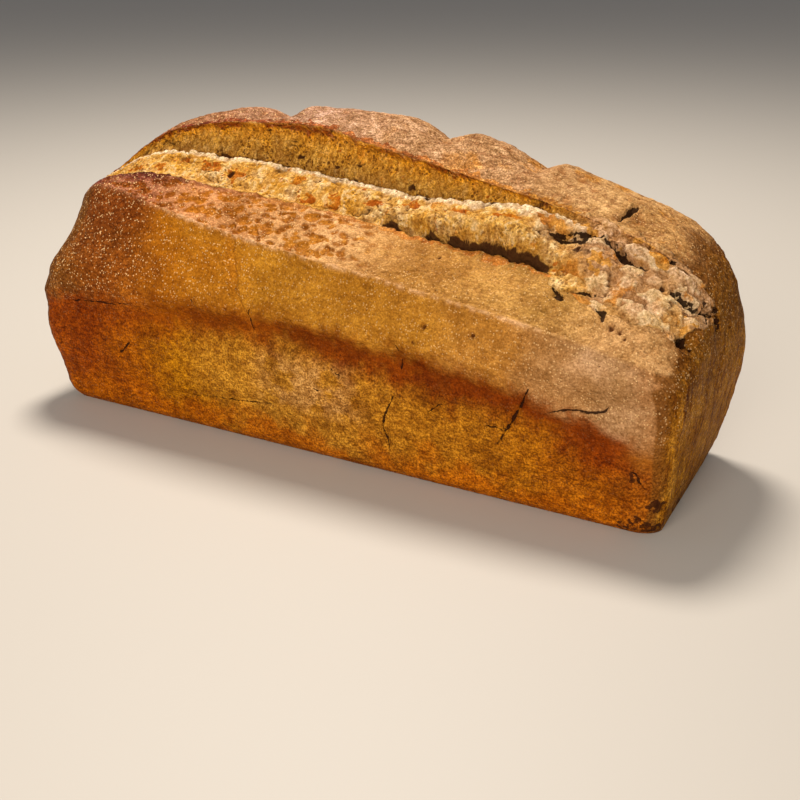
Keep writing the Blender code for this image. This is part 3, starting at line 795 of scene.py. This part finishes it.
class Nodes:
    """A short way to write a material's nodes."""

    def __init__(self, name):
        self.material = bpy.data.materials.new(name)
        self.material.use_nodes = True
        self.tree = self.material.node_tree
        self.shader = self.tree.nodes["Principled BSDF"]
        self.place = self.add("TexCoord").outputs["Object"]

    def put(self, socket, value):
        if isinstance(value, bpy.types.NodeSocket):
            self.tree.links.new(value, socket)
        elif value is not None:
            socket.default_value = value

    def add(self, kind, inputs=(), **settings):
        node = self.tree.nodes.new("ShaderNode" + kind)
        for key, value in settings.items():
            setattr(node, key, value)
        for key, value in dict(inputs).items():
            self.put(node.inputs[key], value)
        return node

    def math(self, operation, a, b=None, clamp=False):
        return self.add("Math", {0: a, 1: b}, operation=operation, use_clamp=clamp).outputs[0]

    def mark(self, name):
        return self.add("Attribute", attribute_name=name).outputs["Fac"]

    def axes(self):
        return self.add("SeparateXYZ", {"Vector": self.place}).outputs

    def noise(self, scale, detail=3.0, roughness=0.5, distortion=0.0, squeeze=None):
        """Noise with about scale bumps to a metre, stretched along the axes where squeeze is below 1."""
        where = self.place
        if squeeze:
            inputs = {"Vector": where, "Scale": squeeze}
            where = self.add("Mapping", inputs, vector_type="POINT").outputs["Vector"]
        inputs = {"Vector": where, "Scale": scale, "Detail": detail}
        inputs |= {"Roughness": roughness, "Distortion": distortion}
        return self.add("TexNoise", inputs).outputs["Fac"]

    def spread(self, value, low, high, to_low=0.0, to_high=1.0, curve="SMOOTHSTEP"):
        """value between low and high, stretched to between to_low and to_high, and no further."""
        inputs = {"Value": value, "From Min": low, "From Max": high, "To Min": to_low, "To Max": to_high}
        return self.add("MapRange", inputs, interpolation_type=curve).outputs["Result"]

    def times(self, first, *others):
        for other in others:
            first = self.math("MULTIPLY", first, other)
        return first

    def away(self, value, middle):
        """How far value is from middle."""
        return self.math("ABSOLUTE", self.math("SUBTRACT", value, middle))

    def jitter(self, value, scale, amount, detail=3.0):
        """value pushed up or down by noise, by up to amount."""
        push = self.spread(self.noise(scale, detail), 0.25, 0.75, -amount, amount, "LINEAR")
        return self.math("ADD", value, push)

    def ragged(self, value, scale, amount, low, high, most=1.0, detail=3.0):
        """0 to most as value goes from low to high, across a border made uneven by noise."""
        return self.spread(self.jitter(value, scale, amount, detail), low, high, 0.0, most)

    def mottle(self, colour, value, dark, light, strength=1.0):
        """colour multiplied by dark where value is low and by light where it is high."""
        half = self.math("DIVIDE", 0.2, strength)
        low, high = self.math("SUBTRACT", 0.5, half), self.math("ADD", 0.5, half)
        share = self.spread(value, low, high, curve="LINEAR")
        return self.mix(1.0, colour, self.mix(share, dark + (1.0,), light + (1.0,)), "MULTIPLY")

    def specks(self, scale, radius, share):
        """1 on small spots, one in each of a share of cells."""
        cells = self.add("TexVoronoi", {"Vector": self.place, "Scale": scale})
        chosen = self.math("LESS_THAN", cells.outputs["Color"], share)
        return self.times(chosen, self.spread(cells.outputs["Distance"], radius, 0.6 * radius))

    def mix(self, share, one, two, blend="MIX"):
        node = self.add("Mix", data_type="RGBA", blend_type=blend)
        self.put(node.inputs[0], share)
        self.put(node.inputs[6], one)
        self.put(node.inputs[7], two)
        return node.outputs[2]

    def ramp(self, value, stops):
        """What the stops say at value: each is a place, then either screen values or one share."""
        node = self.add("ValToRGB", {"Fac": value})
        elements = node.color_ramp.elements
        while len(elements) < len(stops):
            elements.new(0.5)
        for element, (place, *colour) in zip(elements, stops):
            element.position = place
            element.color = rgb(*colour) if len(colour) == 3 else (*colour * 3, 1.0)
        return node.outputs["Color"]

    def across(self, stops):
        """A colour, or a share, that changes along the loaf, with stops at X in centimetres."""
        share = self.spread(self.jitter(self.axes()["X"], 28.0, 0.02), -HALF_SPAN, HALF_SPAN, curve="LINEAR")
        return self.ramp(share, [(0.5 + x * CM / (2 * HALF_SPAN), *colour) for x, *colour in stops])


def crumb_colour(n):
    """Pale torn crumb: cream on the crest, yellow below, olive and brown down the torn wall with painted
    shade at its foot; painted shade in low places, pores and gaps, and painted light on what stands proud.
    """
    wall, proud = n.mark("wall"), n.mark("proud")
    tone = n.noise(120, 3, 0.6)
    # Up the torn wall: painted shade at its foot, yellow under the lip, browned at the lip
    torn_wall = n.ramp(n.jitter(n.mark("up_wall"), 150, 0.22), TORN_WALL)
    torn_wall = n.mix(n.spread(tone, 0.5, 0.7, 0, 0.25), torn_wall, rgb(236, 184, 92))
    colour = n.mix(wall, n.ramp(tone, PALE_CRUMB), torn_wall)
    # Painted shadow, browner, on the crumb just above the front gap
    colour = n.mix(n.times(n.mark("low"), 0.7), colour, rgb(200, 146, 62))
    golden = n.spread(n.noise(170, 3, 0.6), 0.48, 0.60, 0, 0.6)
    golden = n.times(golden, n.spread(wall, 1, 0), n.across([(-1, 1), (2.5, 0.25)]))
    colour = n.mix(golden, colour, rgb(236, 170, 58))
    crest = n.mark("crest_line")
    colour = n.mix(n.ragged(crest, 180, 0.3, 0.2, 0.7, 0.9), colour, rgb(252, 224, 184))
    right = n.across([(8, 0), (10.5, 1)])
    rosy = n.times(right, n.spread(n.noise(70, 2), 0.35, 0.6, 0.4, 0.95))
    colour = n.mix(rosy, colour, rgb(208, 162, 120))
    # Painted shade on the crumb's low parts, and painted light on what stands proud
    colour = n.mix(n.spread(proud, 0.5, 0.1, 0, 0.45), colour, rgb(170, 110, 44))
    proud_highlight = n.times(n.spread(proud, 0.6, 1, 0, 0.5), n.spread(wall, 0, 1, 1, 0.15))
    colour = n.mix(proud_highlight, colour, rgb(252, 222, 172))
    # Toasted patches, and a few smaller flecks of toast on what stands proud
    toasted = n.ramp(n.noise(260, 3), TOASTED_CRUMB)
    toasted = n.mix(n.times(right, 0.8), toasted, rgb(222, 162, 76))
    colour = n.mix(n.ragged(n.mark("toast"), 260, 0.55, 0.42, 0.75, 0.95), colour, toasted)
    few = n.times(n.spread(n.noise(100, 3), 0.58, 0.66), n.spread(proud, 0.35, 0.75), 0.8)
    colour = n.mix(few, colour, rgb(204, 126, 30))
    # Mottled by grains and by fibres that run down the wall
    strength = n.spread(wall, 0, 1, 1, 1.6)
    grains = n.noise(1200, 2, 0.6)
    fibres = n.noise(620, 3, 0.6, squeeze=(1, 0.6, 0.45))
    colour = n.mottle(colour, grains, (0.66, 0.58, 0.44), (1.28, 1.30, 1.34), strength)
    colour = n.mottle(colour, fibres, (0.72, 0.64, 0.48), (1.18, 1.22, 1.30), strength)
    # Pores as painted shade: dark specks, many on the torn wall and by the torn edge, few on the crest and at
    # the right end
    porous = n.math("MAXIMUM", wall, n.spread(crest, 0.05, 0, 0.25, 0.7))
    clustered = n.spread(n.noise(150, 3), 0.40, 0.56, 0.1, 1)
    porous = n.times(porous, clustered, n.spread(right, 0, 1, 1, 0.3))
    pores = n.math("MAXIMUM", n.specks(420, 0.36, 0.5), n.specks(800, 0.45, 0.6))
    colour = n.mix(n.times(pores, porous, 0.85), colour, rgb(96, 50, 16))
    # Painted shade in the crumb's crevices, pores, holes and gaps
    dark = n.ragged(n.mark("dark"), 420, 0.25, 0.15, 0.7, 0.95)
    return n.mix(dark, colour, rgb(66, 34, 16))


def wall_colour(n):
    """The walls: dark orange brown where the tin's rim was, partly browning and partly painted shade under
    the upper crust's overhang, golden below it and tan above.
    """
    x, _, z = n.axes()
    rim = n.jitter(n.jitter(n.mark("rim"), 170, 0.35, 4), 45, 0.25)
    colour = n.mix(n.spread(rim, -0.45, 0.35), n.across(LOWER_WALL), n.across(UPPER_WALL))
    # The dark band: partly browning where the tin's rim was, partly painted shade under the upper crust's
    # overhang
    below = n.ragged(rim, 55, 0.5, -1.9, -0.45)
    band = n.times(n.spread(rim, 0.85, -0.4), below, 0.97)
    colour = n.mix(band, colour, n.across(RIM_BAND))
    near_base = n.ragged(z, 60, 0.010, 0.017, 0.005, 0.85)
    colour = n.mix(near_base, colour, rgb(164, 84, 4))
    # One floury patch low on the wall, about the loaf's middle
    patch = n.times(n.spread(n.away(x, -0.003), 0.032, 0.012), n.spread(n.away(z, 0.032), 0.016, 0.006))
    bloom = n.times(patch, n.spread(n.noise(140, 3), 0.40, 0.60, 0, 0.5))
    colour = n.mix(bloom, colour, rgb(182, 132, 78))
    left = n.ragged(x, 40, 0.02, -0.07, -0.11)
    high = n.ragged(z, 40, 0.01, 0.070, 0.092)
    colour = n.mix(n.times(left, high, 0.7), colour, rgb(112, 50, 12))
    right_corner = n.ragged(x, 50, 0.008, 0.130, 0.146, 0.75)
    return n.mix(right_corner, colour, rgb(132, 76, 18))


def end_colour(n):
    """The end faces: golden, with brown streaks that run upwards."""
    streaks = n.noise(300, 4, 0.65, squeeze=(1, 1, 0.25))
    high = n.ragged(n.axes()["Z"], 60, 0.01, 0.045, 0.070, 0.8)
    return n.mix(high, n.ramp(streaks, END_STREAKS), rgb(116, 70, 20))


def top_colour(n):
    """The flap and the dome: rosy tan at the left, paler and yellower towards the right."""
    x, y, _ = n.axes()
    pock = n.mark("pock")
    flap = n.mix(n.spread(pock, 0.10, 0.42, 0, 0.92), n.across(FLAP), n.across(POCKS))
    glazed = n.ragged(x, 60, 0.01, -0.078, -0.098)
    glazed = n.times(glazed, n.ragged(y, 90, 0.004, -0.028, -0.019))
    flap = n.mix(n.times(glazed, 0.9), flap, rgb(94, 36, 24))
    pock_edge = n.times(pock, n.math("SUBTRACT", 1, pock), 2.4)
    pock_edge = n.times(pock_edge, n.spread(n.noise(220, 2), 0.4, 0.6))
    flap = n.mix(pock_edge, flap, rgb(120, 60, 18))
    # Painted shade in the grooves of the dome's folds
    dome = n.mix(n.times(n.mark("wrinkle"), 0.55), n.across(DOME), rgb(132, 80, 42))
    dome = n.mix(n.times(pock, 0.8), dome, rgb(140, 78, 22))
    golden = n.across([(0, 0), (5, 0.7)])
    golden = n.times(golden, n.spread(n.noise(75, 3), 0.55, 0.68))
    dome = n.mix(golden, dome, rgb(176, 112, 30))
    lines = n.noise(420, 3, 0.6, squeeze=(0.35, 1, 1))
    dome = n.mottle(dome, lines, (0.74, 0.66, 0.56), (1.22, 1.26, 1.32))
    return n.mix(n.mark("dome"), flap, dome)


def browned_edges_and_ridge_highlight(n, colour):
    """The crust's colour with the edges of the tear drawn in: a painted highlight along the ridge, and the
    lip and the torn edge browned.
    """
    # A pale painted highlight along the ridge
    ridge = n.across([(-9, 0.2), (-5, 0.8), (9, 0.5), (12, 0)])
    ridge = n.times(ridge, n.spread(n.noise(300, 3), 0.4, 0.6, 0.1, 1), n.mark("ridge_line"))
    colour = n.mix(ridge, colour, rgb(216, 166, 120))
    for line, scale, push, low, high, most, tones, patches, dark, light in BROWNED_EDGES:
        share = n.ragged(n.mark(line), scale, push, low, high, most)
        share = n.times(share, n.spread(n.mark(line), 0.04, 0.2))
        tone = n.mottle(n.across(tones), n.noise(patches, 3, 0.6), dark, light)
        colour = n.mix(share, colour, tone)
    return colour


def mottled_crust(n, colour, end):
    """The crust's colour mottled at every size from a finger's width to a grain, and finely wrinkled."""
    x = n.axes()["X"]
    low, dome = n.spread(n.mark("rim"), 0, -1.5), n.mark("dome")
    strong = n.math("MAXIMUM", low, n.times(dome, n.spread(x, 0.05, 0.08, 1, 0.2)))
    sides = n.math("MAXIMUM", n.spread(x, -0.07, -0.10), end, clamp=True)
    strong = n.math("MAXIMUM", strong, n.times(sides, 0.7))
    strength = n.spread(strong, 0, 1, 0.8, 1.7)
    broad, coarse = n.noise(45, 3, 0.6), n.noise(230, 3, 0.65)
    fibrous = n.noise(640, 3, 0.65, 0.3, squeeze=(0.5, 1, 1))
    grains = n.noise(1300, 2, 0.6)
    colour = n.mottle(colour, broad, (0.72, 0.66, 0.53), (1.20, 1.26, 1.38))
    colour = n.mottle(colour, coarse, (0.82, 0.76, 0.66), (1.19, 1.24, 1.32), strength)
    colour = n.mottle(colour, fibrous, (0.74, 0.68, 0.58), (1.28, 1.34, 1.42), strength)
    colour = n.mottle(colour, grains, (0.60, 0.55, 0.46), (1.46, 1.50, 1.58), strength)
    winding = n.noise(190, 3, 0.6, 0.8, squeeze=(0.6, 1, 1))
    thread = n.spread(n.away(winding, 0.5), 0.022, 0.004)
    thread = n.times(thread, n.spread(n.noise(60, 2), 0.48, 0.60), n.math("MAXIMUM", low, dome))
    return n.mix(n.times(thread, 0.6), colour, rgb(88, 44, 8))


def spotted_crust(n, colour):
    """The crust's colour with pale floury specks, a few dark ones, burnt spots, and painted shade in the pits
    and hollows.
    """
    speckled = n.across([(-12, 1), (-7, 0.8), (0, 0.4), (13, 0.5)])
    flour = n.math("MAXIMUM", n.specks(1000, 0.38, 0.5), n.specks(560, 0.21, 0.35))
    flour = n.times(flour, speckled, n.spread(n.mark("rim"), -0.2, 1.2, 0.08, 1))
    flour = n.times(flour, n.spread(n.noise(330, 2), 0.35, 0.6, 0.15, 1))
    colour = n.mix(flour, colour, rgb(242, 196, 134))
    colour = n.mix(n.times(n.specks(190, 0.08, 0.3), 0.75), colour, rgb(92, 42, 8))
    burnt = n.ragged(n.mark("burnt"), 420, 0.7, 0.85, 1, detail=4)
    colour = n.mix(n.times(burnt, 0.85), colour, rgb(52, 22, 8))
    # Painted shade in the pits and hollows marked dark
    return n.mix(n.ragged(n.mark("dark"), 520, 0.2, 0.3, 0.8, 0.9), colour, rgb(76, 34, 10))


def crust_colour(n):
    """Baked crust: the top's colour where it faces up, the walls' and the ends' elsewhere."""
    end_share = n.mark("end")
    end = n.jitter(end_share, 60, 0.3)
    is_top = n.math("ADD", n.mark("dome"), n.mark("flap"), clamp=True)
    is_top = n.times(is_top, n.ragged(n.mark("up"), 70, 0.3, 0.3, 0.7), n.spread(end, 0.55, 0.1))
    walls = n.mix(n.spread(end, 0.2, 0.8), wall_colour(n), end_colour(n))
    # Painted shade where the walls turn round towards the ends
    turning = n.times(n.spread(end_share, 0, 0.12), n.spread(end, 1, 0.6), 0.8)
    walls = n.mix(turning, walls, rgb(106, 60, 14))
    colour = n.mix(is_top, walls, top_colour(n))
    colour = browned_edges_and_ridge_highlight(n, colour)
    colour = mottled_crust(n, colour, end)
    return spotted_crust(n, colour)


def surface(name):
    """The loaf's one baked material: crust and crumb, mixed by the marks on the mesh."""
    n = Nodes(name)
    is_crumb = n.ragged(n.mark("crumb"), 260, 0.35, 0.4, 0.6)
    colour = n.mix(is_crumb, crust_colour(n), crumb_colour(n))
    # Cracks: painted shade, nearly black where a point is nearer to the crack than its ragged half width
    aside = n.jitter(n.math("ABSOLUTE", n.mark("crack_off")), 420, 0.035, 4)
    crack_width = n.mark("crack_width")
    half_width = n.times(crack_width, n.spread(n.noise(330, 3), 0.38, 0.55, 0.3, 1.15))
    cracked = n.spread(n.math("SUBTRACT", half_width, aside), -0.012, 0.008)
    cracked = n.times(cracked, n.spread(crack_width, 0.003, 0.01))
    colour = n.mix(n.times(cracked, 0.93), colour, rgb(38, 17, 8))
    n.put(n.shader.inputs["Base Color"], colour)
    crust_roughness = n.spread(n.noise(300, 2), 0.3, 0.7, 0.52, 0.72)
    n.put(n.shader.inputs["Roughness"], n.math("MAXIMUM", crust_roughness, n.times(is_crumb, 0.9)))
    n.shader.inputs["Specular IOR Level"].default_value = CRUST_SPECULAR
    # Grain on the crust, and coarser grain on the crumb
    grain = n.noise(1100, 3, 0.65)
    coarse = n.noise(420, 4, 0.6, squeeze=(0.6, 1, 1))
    crumbs = n.noise(620, 4, 0.7)
    height = n.math("ADD", grain, n.times(coarse, 2.5))
    height = n.math("ADD", height, n.times(is_crumb, crumbs, 4))
    height = n.math("SUBTRACT", height, n.times(cracked, 2))
    bump = n.add("Bump", {"Strength": BUMP_STRENGTH, "Distance": BUMP_HEIGHT, "Height": height})
    n.put(n.shader.inputs["Normal"], bump.outputs["Normal"])
    return n.material


def floor_material():
    material = bpy.data.materials.new("pale_floor")
    material.use_nodes = True
    inputs = material.node_tree.nodes["Principled BSDF"].inputs
    inputs["Base Color"].default_value = rgb(186, 176, 163)
    inputs["Roughness"].default_value = 0.6
    return material


# ---------------------------------------------------------------- stage, lights and camera

FLOOR_HALF_SIZE = 3.0
FLOOR_DROP = 0.0003  # how far the floor lies below the loaf's base
# Soft round lights: name, place, what it points at, diameter and watts
LIGHTS = [
    ("key", (-0.22, 0.30, 0.85), (0, 0, 0.08), 0.28, 11.0),
    ("fill", (0.30, -1.00, 0.50), (0.02, 0, 0.05), 0.7, 12.0),
]
LIGHT_COLOUR = (1.0, 0.96, 0.9)
ROOM_COLOUR = (0.9, 0.93, 1.0, 1.0)
ROOM_STRENGTH = 0.25
CAMERA_PLACE = (0.270, -0.450, 0.229)
CAMERA_DOWN = 22.6  # degrees below level
CAMERA_TURN = 29.7  # degrees round to the right of the loaf's front
SENSOR_WIDTH = 36.0
FOCAL_LENGTH = 58.5


def make_floor():
    mesh = bpy.data.meshes.new("floor")
    half = FLOOR_HALF_SIZE
    corners = [(-half, -half, 0), (half, -half, 0), (half, half, 0), (-half, half, 0)]
    mesh.from_pydata(corners, [], [(0, 1, 2, 3)])
    floor = bpy.data.objects.new("floor", mesh)
    floor.location.z = -FLOOR_DROP
    mesh.materials.append(floor_material())
    bpy.context.scene.collection.objects.link(floor)


def make_lights():
    for name, place, target, diameter, watts in LIGHTS:
        light = bpy.data.lights.new(name, "AREA")
        light.shape = "DISK"
        light.size = diameter
        light.energy = watts
        light.color = LIGHT_COLOUR
        lamp = bpy.data.objects.new(name, light)
        lamp.location = place
        lamp.rotation_euler = (Vector(target) - Vector(place)).to_track_quat("-Z", "Y").to_euler()
        bpy.context.scene.collection.objects.link(lamp)
    world = bpy.data.worlds.new("studio")
    world.use_nodes = True
    background = world.node_tree.nodes["Background"]
    background.inputs["Color"].default_value = ROOM_COLOUR
    background.inputs["Strength"].default_value = ROOM_STRENGTH
    bpy.context.scene.world = world
    bpy.context.scene.view_settings.view_transform = "Standard"


def make_camera():
    camera = bpy.data.cameras.new("camera")
    camera.sensor_width = SENSOR_WIDTH
    camera.lens = FOCAL_LENGTH
    eye = bpy.data.objects.new("camera", camera)
    eye.location = CAMERA_PLACE
    eye.rotation_euler = (math.radians(90 - CAMERA_DOWN), 0.0, math.radians(CAMERA_TURN))
    bpy.context.scene.collection.objects.link(eye)
    bpy.context.scene.camera = eye


# ---------------------------------------------------------------- everything together

make_camera()
make_lights()
make_floor()
baked = surface("baked_loaf")
for piece in build_loaf():
    piece.data.materials.append(baked)
    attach(piece, "root")
    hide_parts("loaf")
